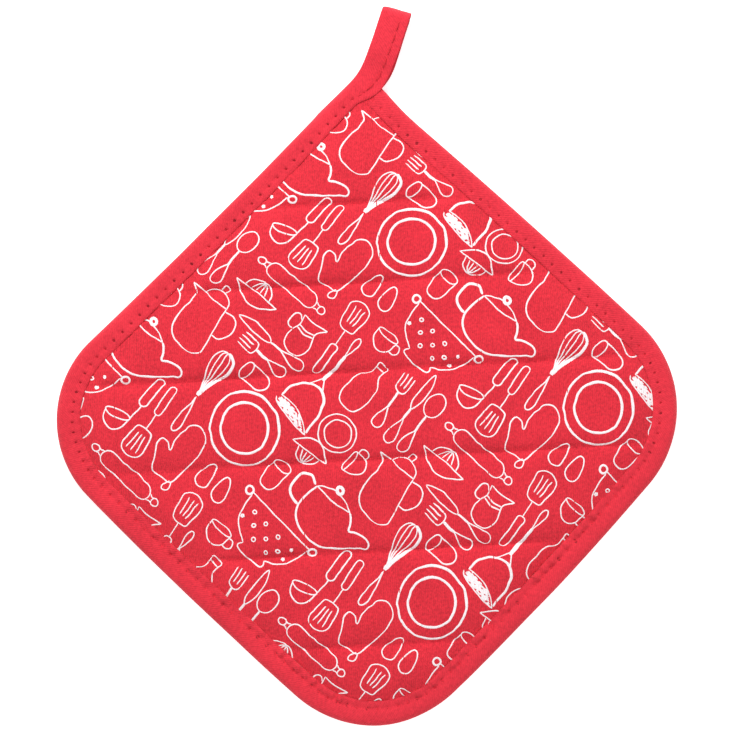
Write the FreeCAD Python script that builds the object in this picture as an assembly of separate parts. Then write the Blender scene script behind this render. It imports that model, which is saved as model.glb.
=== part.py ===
import FreeCAD, Part
import math
import os

# A quilted square potholder with a corner hanging loop. Millimetres, lying face up on z = 0.
# X runs along the rows of quilting, Y towards the loop's corner, Z out of the printed face.

# Corners of the pad's sides, before rounding: loop corner, right, bottom, left.
CORNERS = ((4.2, 135.5), (142.4, -3.1), (-4.7, -142.6), (-142.3, 5.9))
CORNER_RADII = (10.0, 45.5, 46.0, 43.0)
SIDE_BOWS = (0.7, 1.1, 0.9, -0.8)

ROWS = (84.0, 52.5, 17.5, -17.5, -54.0, -91.0)
COLUMNS = (-99.8, -65.0, -27.9, 8.2, 46.0, 79.0)
FOLD_Y = -18.6
FOLD_SLOT = 0.4

CLOTH = 0.5
FACE_RIM_Z = 4.4
FACE_SEAM_Z = 4.8
FACE_PUFF_Z = 7.2
BACK_RIM_Z = 1.4
BACK_SEAM_Z = 1.0
BACK_PUFF_Z = 0.0
MID_Z = 2.9
PUFF_RISE = 10.0

BINDING_WIDTH = 9.1
BINDING_CLOTH = 0.9
BINDING_ROUND = 1.3
TOPSTITCH_INSET = 6.6

THREAD = 0.6
THREAD_HIGH = 0.35

LOOP_HINGE = (8.7, 134.1, 2.9)
LOOP_LEAN = 19.0
LOOP_WIDTH = 11.7
LOOP_LENGTH = 27.4
LOOP_TAPE = 1.2
LOOP_GAP_LONG = 11.2
LOOP_GAP_HIGH = 2.5
LOOP_GAP_RISE = 1.0
NECK_THICK = 0.8
BASE_THICK = 1.1
BASE_END = 5.0


def unit(a, b):
    length = math.hypot(b[0] - a[0], b[1] - a[1])
    return ((b[0] - a[0]) / length, (b[1] - a[1]) / length)


def inset_corner(index, inset):
    """A corner of the pad moved in so that both its sides are the inset further in."""
    corner = CORNERS[index]
    before = unit(corner, CORNERS[index - 1])
    after = unit(corner, CORNERS[(index + 1) % 4])
    sine = before[0] * after[1] - before[1] * after[0]
    step = inset / abs(sine)
    return (corner[0] + (before[0] + after[0]) * step, corner[1] + (before[1] + after[1]) * step)


def outline_wire(inset, z):
    """The pad's closed outline: four bowed sides joined by rounded corners."""
    corners = [inset_corner(index, inset) for index in range(4)]
    rounds = []
    for index in range(4):
        corner = corners[index]
        before = unit(corner, corners[index - 1])
        after = unit(corner, corners[(index + 1) % 4])
        angle = math.acos(before[0] * after[0] + before[1] * after[1])
        radius = max(CORNER_RADII[index] - inset, 2.5)
        reach = radius / math.tan(angle / 2)
        middle = unit((0, 0), (before[0] + after[0], before[1] + after[1]))
        centre_at = radius / math.sin(angle / 2)
        start = (corner[0] + before[0] * reach, corner[1] + before[1] * reach)
        end = (corner[0] + after[0] * reach, corner[1] + after[1] * reach)
        top = (corner[0] + middle[0] * (centre_at - radius), corner[1] + middle[1] * (centre_at - radius))
        rounds.append((start, top, end))
    edges = []
    for index in range(4):
        start, top, end = rounds[index]
        following = rounds[(index + 1) % 4][0]
        along = unit(end, following)
        bow = SIDE_BOWS[index]
        half = ((end[0] + following[0]) / 2, (end[1] + following[1]) / 2)
        bowed = (half[0] - along[1] * bow, half[1] + along[0] * bow)
        edges.append(arc(start, top, end, z))
        edges.append(arc(end, bowed, following, z))
    return Part.Wire(edges)


def arc(a, b, c, z):
    points = [FreeCAD.Vector(p[0], p[1], z) for p in (a, b, c)]
    return Part.Arc(*points).toShape()


def prism(inset, low, high):
    face = Part.Face(outline_wire(inset, low))
    return face.extrude(FreeCAD.Vector(0, 0, high - low))


def frustum(low_inset, low, high_inset, high):
    return Part.makeLoft([outline_wire(low_inset, low), outline_wire(high_inset, high)], True, True)


def box(low, high):
    size = [high[i] - low[i] for i in range(3)]
    return Part.makeBox(size[0], size[1], size[2], FreeCAD.Vector(*low))


def waves(seam_z, puff_z, flat_z=None):
    """Everything under the quilted surface: a rounded puff between each two rows of stitching."""
    lines = [ROWS[0] + 66.0, ROWS[0] + 33.0] + list(ROWS) + [ROWS[-1] - 37.0]
    floor = seam_z - 12.0
    edges = []
    for upper, lower in zip(lines[:-1], lines[1:]):
        a = FreeCAD.Vector(0, upper, seam_z)
        b = FreeCAD.Vector(0, (upper + lower) / 2, puff_z)
        c = FreeCAD.Vector(0, lower, seam_z)
        edges.append(Part.Arc(a, b, c).toShape())
    corners = [(lines[-1], seam_z), (lines[-1], floor), (lines[0], floor), (lines[0], seam_z)]
    points = [FreeCAD.Vector(0, y, z) for y, z in corners]
    for a, b in zip(points[:-1], points[1:]):
        edges.append(Part.makeLine(a, b))
    solid = Part.Face(Part.Wire(edges)).extrude(FreeCAD.Vector(320, 0, 0))
    solid.translate(FreeCAD.Vector(-160, 0, 0))
    if flat_z is not None:
        solid = solid.common(box((-170, -170, -60), (170, 170, flat_z)))
    return solid


def pillow(rim_z, seam_z, puff_z, flat_z=None):
    """Everything under one face of the pad: a flat rim, then a slope up to the quilted puffs."""
    rim = prism(1.0, rim_z - 8.0, rim_z)
    slope = frustum(BINDING_WIDTH, rim_z - 0.01, BINDING_WIDTH + PUFF_RISE, puff_z + 0.6)
    slope = slope.fuse(prism(BINDING_WIDTH, rim_z - 8.0, rim_z - 0.01))
    return rim.fuse(waves(seam_z, puff_z, flat_z).common(slope))


def mirrored(shape):
    """The same shape, turned upside down about the pad's middle plane."""
    return shape.mirror(FreeCAD.Vector(0, 0, MID_Z), FreeCAD.Vector(0, 0, 1))


def face_pillow(offset):
    return pillow(FACE_RIM_Z + offset, FACE_SEAM_Z + offset, FACE_PUFF_Z + offset)


def back_pillow(offset):
    flip = 2 * MID_Z
    flat = flip - BACK_PUFF_Z + offset
    return mirrored(pillow(flip - BACK_RIM_Z + offset, flip - BACK_SEAM_Z + offset, flat + 0.8, flat))


def upper_space():
    return box((-170, FOLD_Y + FOLD_SLOT / 2, -30), (170, 200, 30))


def lower_space():
    return box((-170, -200, -30), (170, FOLD_Y - FOLD_SLOT / 2, 30))


def binding_tape():
    """The folded tape round the edge: a rounded outside with a slot that holds the layers."""
    low = BACK_RIM_Z - BINDING_CLOTH
    high = FACE_RIM_Z + BINDING_CLOTH
    outer = prism(0, low + BINDING_ROUND, high - BINDING_ROUND)
    outer = outer.fuse(frustum(0, high - BINDING_ROUND, BINDING_ROUND, high))
    outer = outer.fuse(frustum(BINDING_ROUND, low, 0, low + BINDING_ROUND))
    outer = outer.removeSplitter()
    tape = outer.cut(prism(1.0, BACK_RIM_Z, FACE_RIM_Z))
    return tape.cut(prism(BINDING_WIDTH, low - 1, high + 1))


def loop_placed(shape):
    """From the loop's own axes (X across it, Y along it, origin on its hinge) to the pad's."""
    shape.rotate(FreeCAD.Vector(0, 0, 0), FreeCAD.Vector(0, 0, 1), -LOOP_LEAN)
    shape.translate(FreeCAD.Vector(*LOOP_HINGE))
    return shape


def loop_base():
    """The tape's sewn root: it lies over the binding's corner and ends in a thin neck."""
    over = box((-LOOP_WIDTH / 2, -13.5, FACE_RIM_Z + BINDING_CLOTH - LOOP_HINGE[2]),
               (LOOP_WIDTH / 2, -BASE_END, FACE_RIM_Z + BINDING_CLOTH + BASE_THICK - LOOP_HINGE[2]))
    neck = box((-LOOP_WIDTH / 2 + 0.4, -10.0, -NECK_THICK / 2), (LOOP_WIDTH / 2 - 0.4, -1.95, NECK_THICK / 2))
    placed_over = loop_placed(over).common(prism(0.2, 4.0, 12.0))
    placed_neck = loop_placed(neck).cut(prism(0, -5, 12))
    return placed_over, placed_neck


def oval(long_half, high_half):
    """A filled oval in the loop's side view, as long as the two legs."""
    centre = FreeCAD.Vector(0, LOOP_LENGTH - LOOP_GAP_LONG - LOOP_TAPE, LOOP_GAP_RISE)
    ellipse = Part.Ellipse(centre + FreeCAD.Vector(0, long_half, 0),
                           centre + FreeCAD.Vector(0, 0, high_half), centre)
    return Part.Face(Part.Wire(ellipse.toShape())).extrude(FreeCAD.Vector(LOOP_WIDTH, 0, 0))


def hanging_loop():
    """The tape turned back on itself: two legs that meet at the hinge, with a gap for a hook."""
    outer = oval(LOOP_GAP_LONG + LOOP_TAPE, LOOP_GAP_HIGH + LOOP_TAPE)
    inner = oval(LOOP_GAP_LONG, LOOP_GAP_HIGH)
    root = box((0, 0, -LOOP_TAPE), (LOOP_WIDTH, 6.0, LOOP_TAPE))
    knuckle = Part.makeCylinder(LOOP_TAPE, LOOP_WIDTH, FreeCAD.Vector(0, 0, 0), FreeCAD.Vector(1, 0, 0))
    loop = outer.fuse(root).fuse(knuckle).cut(inner).removeSplitter()
    loop.translate(FreeCAD.Vector(-LOOP_WIDTH / 2, 0, 0))
    return loop_placed(loop)


def loop_stitch(loop):
    """The line of stitching along the loop's right edge, on its front leg."""
    grown = box((2.35, 0.8, 0), (2.35 + THREAD, LOOP_LENGTH - 3.0, 8.0))
    lifted = loop.copy()
    lifted.translate(FreeCAD.Vector(0, 0, THREAD_HIGH))
    return largest(loop_placed(grown).common(lifted.cut(loop)))


def largest(shape):
    return max(shape.Solids, key=lambda solid: solid.Volume)


def joined(shape):
    """The shape's solids: one solid, or a compound of them."""
    solids = [solid for solid in shape.Solids if solid.Volume > 0.02]
    return solids[0] if len(solids) == 1 else Part.makeCompound(solids)


def save(name, shape):
    shape = joined(shape)
    shape.exportStep("parts/" + name + ".step")
    print(name, len(shape.Solids), round(shape.Volume, 1), shape.isValid())


def build():
    os.makedirs("parts", exist_ok=True)
    over_mid = box((-170, -200, MID_Z), (170, 200, 30))
    under_mid = box((-170, -200, -30), (170, 200, MID_Z))
    inside = prism(BINDING_WIDTH + 1.0, -30, 30)
    face = face_pillow(0)
    under_face = face_pillow(-CLOTH)
    back = back_pillow(0)
    under_back = back_pillow(-CLOTH)
    front_panel = face.cut(under_face).common(over_mid)
    back_panel = back.cut(under_back).common(under_mid)
    wadding = under_face.common(under_back)
    tape = binding_tape()
    over, neck = loop_base()
    loop = hanging_loop()

    face_skin = face_pillow(THREAD_HIGH).cut(face).common(over_mid).common(inside)
    back_skin = back.cut(back_pillow(-THREAD_HIGH)).common(under_mid).common(inside)
    half = THREAD / 2
    row_boxes = [box((-160, y - half, -30), (160, y + half, 30)) for y in ROWS]
    column_boxes = [box((x - half, -160, -30), (x + half, 160, 30)) for x in COLUMNS]
    rows_together = row_boxes[0].multiFuse(row_boxes[1:])
    all_boxes = rows_together.multiFuse(column_boxes)
    bobbin = back_skin.common(all_boxes)
    back_panel = back_panel.cut(bobbin)

    topstitch = prism(TOPSTITCH_INSET - half, 5.3, 5.3 + 0.3).cut(prism(TOPSTITCH_INSET + half, 5, 6))
    topstitch = topstitch.cut(over)
    under_stitch = prism(TOPSTITCH_INSET - half, 0.2, 0.5).cut(prism(TOPSTITCH_INSET + half, 0, 1))
    edge_stitch = Part.makeCompound([topstitch, under_stitch])

    for half_name, space in (("upper", upper_space()), ("lower", lower_space())):
        save("front_panel_" + half_name, front_panel.common(space))
        save("wadding_" + half_name, wadding.common(space))
        save("back_panel_" + half_name, back_panel.common(space))
        save("binding_" + half_name, tape.common(space))
        save("binding_stitch_" + half_name, edge_stitch.common(space))
        save("bobbin_threads_" + half_name, bobbin.common(space))
        for number, column_box in enumerate(column_boxes, 1):
            thread = face_skin.common(column_box).cut(rows_together).common(space)
            save("column_thread_%d_%s" % (number, half_name), thread)
    for number, row_box in enumerate(row_boxes, 1):
        save("row_thread_%d" % number, face_skin.common(row_box))
    save("loop_base", over.fuse(neck))
    save("hanging_loop", loop)
    save("loop_stitch", loop_stitch(loop))


build()
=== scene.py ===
import math

import bpy
import numpy as np
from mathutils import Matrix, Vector

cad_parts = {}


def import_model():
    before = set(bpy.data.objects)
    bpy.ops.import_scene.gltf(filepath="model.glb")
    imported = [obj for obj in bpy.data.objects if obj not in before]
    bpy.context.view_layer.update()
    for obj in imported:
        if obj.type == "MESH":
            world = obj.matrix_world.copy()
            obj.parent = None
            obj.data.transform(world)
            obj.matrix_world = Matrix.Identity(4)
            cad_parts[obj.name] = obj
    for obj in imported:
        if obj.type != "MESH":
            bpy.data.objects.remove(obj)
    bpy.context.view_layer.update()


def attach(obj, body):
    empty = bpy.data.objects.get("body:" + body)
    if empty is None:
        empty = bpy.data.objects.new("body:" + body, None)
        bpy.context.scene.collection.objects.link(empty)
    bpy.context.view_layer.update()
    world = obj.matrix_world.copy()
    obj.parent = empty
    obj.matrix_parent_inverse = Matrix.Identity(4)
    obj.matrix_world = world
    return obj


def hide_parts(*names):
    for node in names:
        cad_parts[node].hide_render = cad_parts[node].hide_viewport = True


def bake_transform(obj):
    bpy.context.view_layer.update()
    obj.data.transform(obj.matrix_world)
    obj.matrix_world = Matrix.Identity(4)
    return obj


# A quilted square potholder with a hanging loop. Lengths are millimetres until a mesh is made.
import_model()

MM = 0.001

# Corners of the pad's sides before rounding: loop corner, right, bottom, left.
CORNERS = ((4.2, 135.5), (142.4, -3.1), (-4.7, -142.6), (-142.3, 5.9))
CORNER_RADII = (10.0, 45.5, 46.0, 43.0)
SIDE_BOWS = (0.7, 1.1, 0.9, -0.8)
ROWS = (84.0, 52.5, 17.5, -17.5, -54.0, -91.0)
COLUMNS = (-99.8, -65.0, -27.9, 8.2, 46.0, 79.0)

MID_Z = 2.9
FACE_RIM_Z = 4.22
BACK_RIM_Z = 1.8
SECTION_WIDTH = 7.5
STITCH_INSET = 5.4
STITCH_PITCH = 4.8
QUILT_PITCH = 3.4

# Insets from the pad's edge, in a binding of the drawn section's width.
PANEL_FROM = 1.4
WADDING_FROM = 2.8
WADDING_GAP = 0.3
PRINT_FROM = 7.3
PUFF_FROM = 7.6
HELD_TO = 7.9
SEAM_FROM = 8.1
PUFF_RISE = 10.0

LOOP_HINGE = np.array((8.7, 134.1))
LOOP_DIRECTION = np.array((math.sin(math.radians(19)), math.cos(math.radians(19))))


# ---------------------------------------------------------------- outline

def unit(v):
    return v / np.linalg.norm(v)


def units(rows):
    return rows / np.linalg.norm(rows, axis=1)[:, None]


def arc_points(a, b, c, step):
    """Points on the circle through a, b and c, from a up to c."""
    a, b, c = map(np.array, (a, b, c))
    d = 2 * (a[0] * (b[1] - c[1]) + b[0] * (c[1] - a[1]) + c[0] * (a[1] - b[1]))
    ux = ((a @ a) * (b[1] - c[1]) + (b @ b) * (c[1] - a[1]) + (c @ c) * (a[1] - b[1])) / d
    uy = ((a @ a) * (c[0] - b[0]) + (b @ b) * (a[0] - c[0]) + (c @ c) * (b[0] - a[0])) / d
    centre = np.array([ux, uy])
    radius = np.linalg.norm(a - centre)
    start, middle, end = (math.atan2(*(p - centre)[::-1]) for p in (a, b, c))
    sweep = (end - start) % (2 * math.pi)
    if (middle - start) % (2 * math.pi) > sweep:
        sweep -= 2 * math.pi
    count = max(4, int(abs(sweep) * radius / step))
    turn = start + sweep * np.arange(count) / count
    return centre + radius * np.stack([np.cos(turn), np.sin(turn)], 1)


def spaced(points, step, closed=False):
    """The polyline's points again, evenly spaced."""
    line = np.vstack([points, points[:1]]) if closed else np.asarray(points, float)
    along = np.r_[0, np.cumsum(np.linalg.norm(np.diff(line, axis=0), axis=1))]
    count = max(2, int(round(along[-1] / step)))
    at = along[-1] * np.arange(count + (not closed)) / count
    return np.stack([np.interp(at, along, line[:, k]) for k in range(line.shape[1])], 1)


def pad_outline(step):
    """The pad's edge, clockwise from the middle of the loop corner: points and inward normals."""
    corners = [np.array(c) for c in CORNERS]
    rounds = []
    for i, corner in enumerate(corners):
        before = unit(corners[i - 1] - corner)
        after = unit(corners[(i + 1) % 4] - corner)
        angle = math.acos(before @ after)
        radius = CORNER_RADII[i]
        reach = radius / math.tan(angle / 2)
        top = corner + unit(before + after) * (radius / math.sin(angle / 2) - radius)
        rounds.append((corner + before * reach, top, corner + after * reach))
    parts = []
    for i, (start, top, end) in enumerate(rounds):
        following = rounds[(i + 1) % 4][0]
        along = unit(following - end)
        bowed = (end + following) / 2 + np.array([-along[1], along[0]]) * SIDE_BOWS[i]
        parts += [arc_points(start, top, end, step / 4), arc_points(end, bowed, following, step / 4)]
    points = np.roll(np.concatenate(parts), -(len(parts[0]) // 2), axis=0)
    points = spaced(points, step, closed=True)
    along = units(np.roll(points, -1, 0) - np.roll(points, 1, 0))
    return points, np.stack([along[:, 1], -along[:, 0]], 1)


def inset_of(x, y, line, normal):
    """How far each point lies inside the outline."""
    points = np.stack([x.ravel(), y.ravel()], 1)
    inset = np.empty(len(points))
    for i in range(0, len(points), 4000):
        block = points[i:i + 4000]
        far = ((block[:, None] - line[None]) ** 2).sum(2)
        near = far.argmin(1)
        side = np.sign(((block - line[near]) * normal[near]).sum(1))
        inset[i:i + 4000] = np.sqrt(far[np.arange(len(block)), near]) * side
    return inset.reshape(x.shape)


def widening(y):
    """How much wider than its drawn section the binding shows: widest along the two lower sides."""
    return (9.4 - 0.0114 * np.maximum(y, -60) - 0.008 * np.maximum(-60 - y, 0)) / SECTION_WIDTH


def noise(x, y, scale, seed):
    """Smooth seeded value noise, about -2 to 2."""
    size = 64
    table = np.random.default_rng(seed).normal(size=(size, size))
    u, v = np.broadcast_arrays(np.asarray(x, float) / scale, np.asarray(y, float) / scale)
    i, j = np.floor(u).astype(int), np.floor(v).astype(int)
    fu, fv = u - i, v - j
    fu, fv = fu * fu * (3 - 2 * fu), fv * fv * (3 - 2 * fv)
    i, j = i % size, j % size
    k, m = (i + 1) % size, (j + 1) % size
    near = table[j, i] * (1 - fu) + table[j, k] * fu
    far = table[m, i] * (1 - fu) + table[m, k] * fu
    return near * (1 - fv) + far * fv


def smooth(t):
    t = np.clip(t, 0, 1)
    return t * t * (3 - 2 * t)


# ---------------------------------------------------------------- cloth

def bands(lines, low, high, step):
    """Grid stops from low to high that fall exactly on each line, and the lines' places among them."""
    stops = [low] + sorted(lines) + [high]
    values, places = [np.array([low])], []
    for a, b in zip(stops[:-1], stops[1:]):
        count = max(2, round((b - a) / step))
        values.append(a + (b - a) * np.arange(1, count + 1) / count)
        places.append(sum(map(len, values)) - 1)
    return np.concatenate(values), places[:-1]


def pull(points, free, axis, parity, rest):
    """Brings every second pair of neighbours along one axis back to its rest length."""
    if axis:
        points, free = points.transpose(1, 0, 2), free.T
    a, b = points[parity:-1:2], points[parity + 1::2]
    fa, fb = free[parity:-1:2], free[parity + 1::2]
    apart = b - a
    length = np.sqrt((apart * apart).sum(2)) + 1e-9
    share = (0.9 * (length - rest[parity::2][:, None]) / length / (fa + fb + 1e-9))[..., None] * apart
    a += share * fa[..., None]
    b -= share * fb[..., None]


def pull_diagonal(points, free, rest):
    """The same for both diagonals of each square, softly, as a weave shears."""
    here, there = slice(0, -1), slice(1, None)
    for one, two in (((here, here), (there, there)), ((here, there), (there, here))):
        apart = points[two] - points[one]
        length = np.sqrt((apart * apart).sum(2)) + 1e-9
        share = (0.07 * (length - rest) / length / (free[one] + free[two] + 1e-9))[..., None] * apart
        points[one] += share * free[one][..., None]
        points[two] -= share * free[two][..., None]


def simulate(points, free, rest_x, rest_y, loft, lid, steps, push=0.02, bend=0.05):
    """Cloth over springy wadding: the wadding pushes it out, the weave keeps its length, stitches hold it."""
    diagonal = np.sqrt(rest_y[:, None] ** 2 + rest_x[None] ** 2)
    for _ in range(steps):
        points[..., 2] += push * (loft - points[..., 2]) * free
        for parity in (0, 1):
            pull(points, free, 1, parity, rest_x)
            pull(points, free, 0, parity, rest_y)
        pull_diagonal(points, free, diagonal)
        middle = points[1:-1, 1:-1]
        around = points[:-2, 1:-1] + points[2:, 1:-1] + points[1:-1, :-2] + points[1:-1, 2:]
        middle += bend * (around / 4 - middle) * free[1:-1, 1:-1, None]
        points[..., 2] = np.minimum(points[..., 2], lid)
    return points


GRID_STEP = 1.25
HOLE_SHARE = 0.19
GRID_X, COLUMN_PLACES = bands(list(COLUMNS), -126, 126, GRID_STEP)
GRID_Y, ROW_PLACES = bands(list(ROWS), -126, 134, GRID_STEP)
FLAT_X, FLAT_Y = np.meshgrid(GRID_X, GRID_Y)
FINE_LINE, FINE_NORMAL = pad_outline(step=0.7)
INSET = inset_of(FLAT_X, FLAT_Y, FINE_LINE, FINE_NORMAL) / widening(FLAT_Y)


def quilted_face(seed, rim, puff, row_depth, column_depth, steps):
    """One face of the pad as a height above its rim side, quilted down along the rows and columns."""
    rise = np.clip((INSET - PUFF_FROM) / PUFF_RISE, 0, 1)
    to_row = np.abs(FLAT_Y[..., None] - np.array(ROWS)).min(2)
    # beside each row the cloth is gathered, and pressed down by the thread
    gathers = noise(FLAT_X, FLAT_Y / 2.6, 2.6, seed + 8) * np.exp(-(to_row / 6.0) ** 2)
    pressed = 0.36 * puff * np.exp(-(to_row / 3.8) ** 1.4)
    lumps = 0.30 * noise(FLAT_X, FLAT_Y, 19, seed) + 0.10 * noise(FLAT_X, FLAT_Y, 8, seed + 9)
    loft = rim + puff * np.sin(rise * math.pi / 2) ** 0.85 + lumps * rise
    loft += (0.30 * gathers - pressed) * rise
    points = np.stack([FLAT_X, FLAT_Y, loft + 0.35 * gathers], 2)
    free = np.ones_like(loft)
    lid = np.full_like(loft, np.inf)
    held = INSET < HELD_TO
    free[held] = 0
    points[..., 2][held] = rim
    step_x, step_y = GRID_X / QUILT_PITCH, GRID_Y / QUILT_PITCH
    hole_x, hole_y = (np.abs(step - np.round(step)) < HOLE_SHARE for step in (step_x, step_y))
    # a row's holes hold the cloth down; a column's only slow it
    for k, i in enumerate(ROW_PLACES):
        depth = rim + row_depth * (1 + 0.30 * noise(GRID_X, np.full_like(GRID_X, 9.0 * k), 13, seed + 3))
        depth = np.where(held[i], rim, depth)
        points[i, :, 2] = depth
        points[i, :, 1] += 0.22 * noise(GRID_X, np.full_like(GRID_X, 5.0 * k), 16, seed + 4)
        free[i, hole_x] = 0
        lid[i] = depth + 0.25
    for k, j in enumerate(COLUMN_PLACES):
        uneven = 1 + 0.3 * noise(np.full_like(GRID_Y, 7.0 * k), GRID_Y, 21, seed + 5)
        depth = loft[:, j] - column_depth * uneven
        lid[:, j] = np.minimum(lid[:, j], np.maximum(depth, rim + 0.1))
        free[hole_y, j] *= 0.35
    slack_x = 1.016 + 0.006 * noise(GRID_X[:-1], 0, 30, seed + 6)
    slack_y = 1.020 + 0.004 * noise(GRID_Y[:-1], 3, 30, seed + 7)
    return simulate(points, free, np.diff(GRID_X) * slack_x, np.diff(GRID_Y) * slack_y, loft, lid, steps)


class Surface:
    """A cloth face that can be looked up by its flat coordinates."""

    def __init__(self, points, out):
        self.points = points
        dx = np.gradient(points, axis=1)
        dy = np.gradient(points, axis=0)
        normal = np.cross(dx, dy) * out
        self.normals = normal / np.linalg.norm(normal, axis=2)[..., None]

    def at(self, x, y):
        """Points on the cloth and their outward normals for flat places x, y."""
        i = np.clip(np.searchsorted(GRID_X, x) - 1, 0, len(GRID_X) - 2)
        j = np.clip(np.searchsorted(GRID_Y, y) - 1, 0, len(GRID_Y) - 2)
        u = ((x - GRID_X[i]) / (GRID_X[i + 1] - GRID_X[i]))[:, None]
        v = ((y - GRID_Y[j]) / (GRID_Y[j + 1] - GRID_Y[j]))[:, None]

        def mix(table):
            near, far = table[j, i], table[j + 1, i + 1]
            below = near + u * (table[j, i + 1] - near) + v * (far - table[j, i + 1])
            above = near + v * (table[j + 1, i] - near) + u * (far - table[j + 1, i])
            return np.where(u > v, below, above)

        return mix(self.points), mix(self.normals)


# ---------------------------------------------------------------- meshes

def make_mesh(name, points, faces, uv, mat):
    """A smooth mesh object from points in millimetres; uv gives each point its place on the flat cloth."""
    mesh = bpy.data.meshes.new(name)
    mesh.from_pydata((np.asarray(points) * MM).tolist(), [], [tuple(map(int, f)) for f in faces])
    if uv is not None:
        layer = mesh.uv_layers.new(name="cloth")
        index = np.empty(len(mesh.loops), np.int32)
        mesh.loops.foreach_get("vertex_index", index)
        layer.data.foreach_set("uv", np.asarray(uv, np.float32)[index].ravel())
    mesh.polygons.foreach_set("use_smooth", np.full(len(mesh.polygons), True))
    mesh.materials.append(mat)
    mesh.validate()
    obj = bpy.data.objects.new(name, mesh)
    bpy.context.scene.collection.objects.link(obj)
    return obj


def strip_faces(rows, columns, closed_rows=False, flip=False):
    """Quads of a grid whose points are numbered row by row."""
    i, j = np.meshgrid(np.arange(rows if closed_rows else rows - 1), np.arange(columns - 1), indexing="ij")
    here, there = i * columns + j, (i + 1) % rows * columns + j
    quads = np.stack([here, here + 1, there + 1, there], 2).reshape(-1, 4)
    return quads[:, ::-1] if flip else quads


def kept_quads(keep, flip=False):
    """The grid squares with four kept corners: points used, squares, and the points' flat places."""
    quads = strip_faces(*keep.shape, flip=flip)
    quads = quads[keep.ravel()[quads].all(1)]
    used, numbers = np.unique(quads, return_inverse=True)
    return used, numbers.reshape(quads.shape), np.stack([FLAT_X.ravel(), FLAT_Y.ravel()], 1)[used] * MM


def panel_mesh(name, points, mat, flip):
    """One cloth face, which runs on under the binding."""
    used, quads, flat = kept_quads(INSET > PANEL_FROM, flip)
    return make_mesh(name, points.reshape(-1, 3)[used], quads, flat, mat)


# ---------------------------------------------------------------- materials

def material(name):
    """A new material, its node tree and its shader."""
    mat = bpy.data.materials.new(name)
    mat.use_nodes = True
    tree = mat.node_tree
    shader = tree.nodes["Principled BSDF"]
    return mat, tree, shader


def cloth_places(tree):
    """The flat cloth coordinates, in metres."""
    return tree.nodes.new("ShaderNodeTexCoord").outputs["UV"]


def bump_from(tree, shader, height, depth):
    """Raises the surface by up to depth millimetres where the height is large."""
    bump = tree.nodes.new("ShaderNodeBump")
    bump.inputs["Strength"].default_value = 1.0
    bump.inputs["Distance"].default_value = depth * MM
    tree.links.new(height, bump.inputs["Height"])
    tree.links.new(bump.outputs["Normal"], shader.inputs["Normal"])


def math_node(tree, operation, a, b=None):
    node = tree.nodes.new("ShaderNodeMath")
    node.operation = operation
    for socket, value in zip(node.inputs, (a, b)):
        if value is None:
            continue
        if isinstance(value, (int, float)):
            socket.default_value = value
        else:
            tree.links.new(value, socket)
    return node.outputs[0]


def plus(tree, a, b):
    return math_node(tree, "ADD", a, b)


def minus(tree, a, b):
    return math_node(tree, "SUBTRACT", a, b)


def times(tree, a, b):
    return math_node(tree, "MULTIPLY", a, b)


def noise_node(tree, vector, scale, detail=2.0, rough=0.5):
    node = tree.nodes.new("ShaderNodeTexNoise")
    node.inputs["Scale"].default_value = scale
    node.inputs["Detail"].default_value = detail
    node.inputs["Roughness"].default_value = rough
    tree.links.new(vector, node.inputs["Vector"])
    return node.outputs["Fac"]


def ramp_node(tree, value, stops):
    node = tree.nodes.new("ShaderNodeValToRGB")
    while len(node.color_ramp.elements) < len(stops):
        node.color_ramp.elements.new(0.5)
    for element, (place, colour) in zip(node.color_ramp.elements, stops):
        element.position = place
        element.color = (*colour, 1)
    tree.links.new(value, node.inputs["Fac"])
    return node.outputs["Color"]


def cotton(name, colour, wale, turn, depth, dark=0.86, light=1.12, blotch=0.5):
    """Woven cotton twill: ridges wale mm apart, turned from the cloth's Y, with grain and slight wear."""
    mat, tree, shader = material(name)
    coordinates = cloth_places(tree)
    spin = tree.nodes.new("ShaderNodeMapping")
    spin.inputs["Rotation"].default_value = (0, 0, math.radians(turn))
    tree.links.new(coordinates, spin.inputs["Vector"])
    split = tree.nodes.new("ShaderNodeSeparateXYZ")
    tree.links.new(spin.outputs["Vector"], split.inputs["Vector"])
    wander = noise_node(tree, coordinates, 420, 2)
    across = plus(tree, split.outputs["X"], times(tree, wander, 0.0006))
    ridge = math_node(tree, "SINE", times(tree, across, 2 * math.pi / (wale * MM)))
    along = split.outputs["Y"]
    yarn = math_node(tree, "SINE", times(tree, along, 2 * math.pi / (0.62 * wale * MM)))
    weave = plus(tree, ridge, times(tree, yarn, 0.35))
    fuzz = noise_node(tree, coordinates, 2600, 3, 0.7)
    height = plus(tree, times(tree, weave, 0.5), times(tree, fuzz, 1.6))
    bump_from(tree, shader, height, depth)
    patch = noise_node(tree, coordinates, 45, 4, 0.6)
    fleck = noise_node(tree, coordinates, 900, 3, 0.65)
    shade = times(tree, patch, blotch)
    shade = plus(tree, shade, times(tree, fleck, 1 - blotch))
    shade = plus(tree, shade, times(tree, ridge, 0.05))
    low = tuple(c * dark for c in colour)
    high = tuple(min(1.0, c * light + 0.004) for c in colour)
    shaded = ramp_node(tree, shade, ((0.32, low), (0.5, colour), (0.68, high)))
    tree.links.new(shaded, shader.inputs["Base Color"])
    shader.inputs["Roughness"].default_value = 0.88
    shader.inputs["Specular IOR Level"].default_value = 0.25
    shader.inputs["Sheen Weight"].default_value = 0.25
    shader.inputs["Sheen Roughness"].default_value = 0.5
    shader.inputs["Sheen Tint"].default_value = (1.0, 0.55, 0.55, 1)
    return mat


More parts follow.
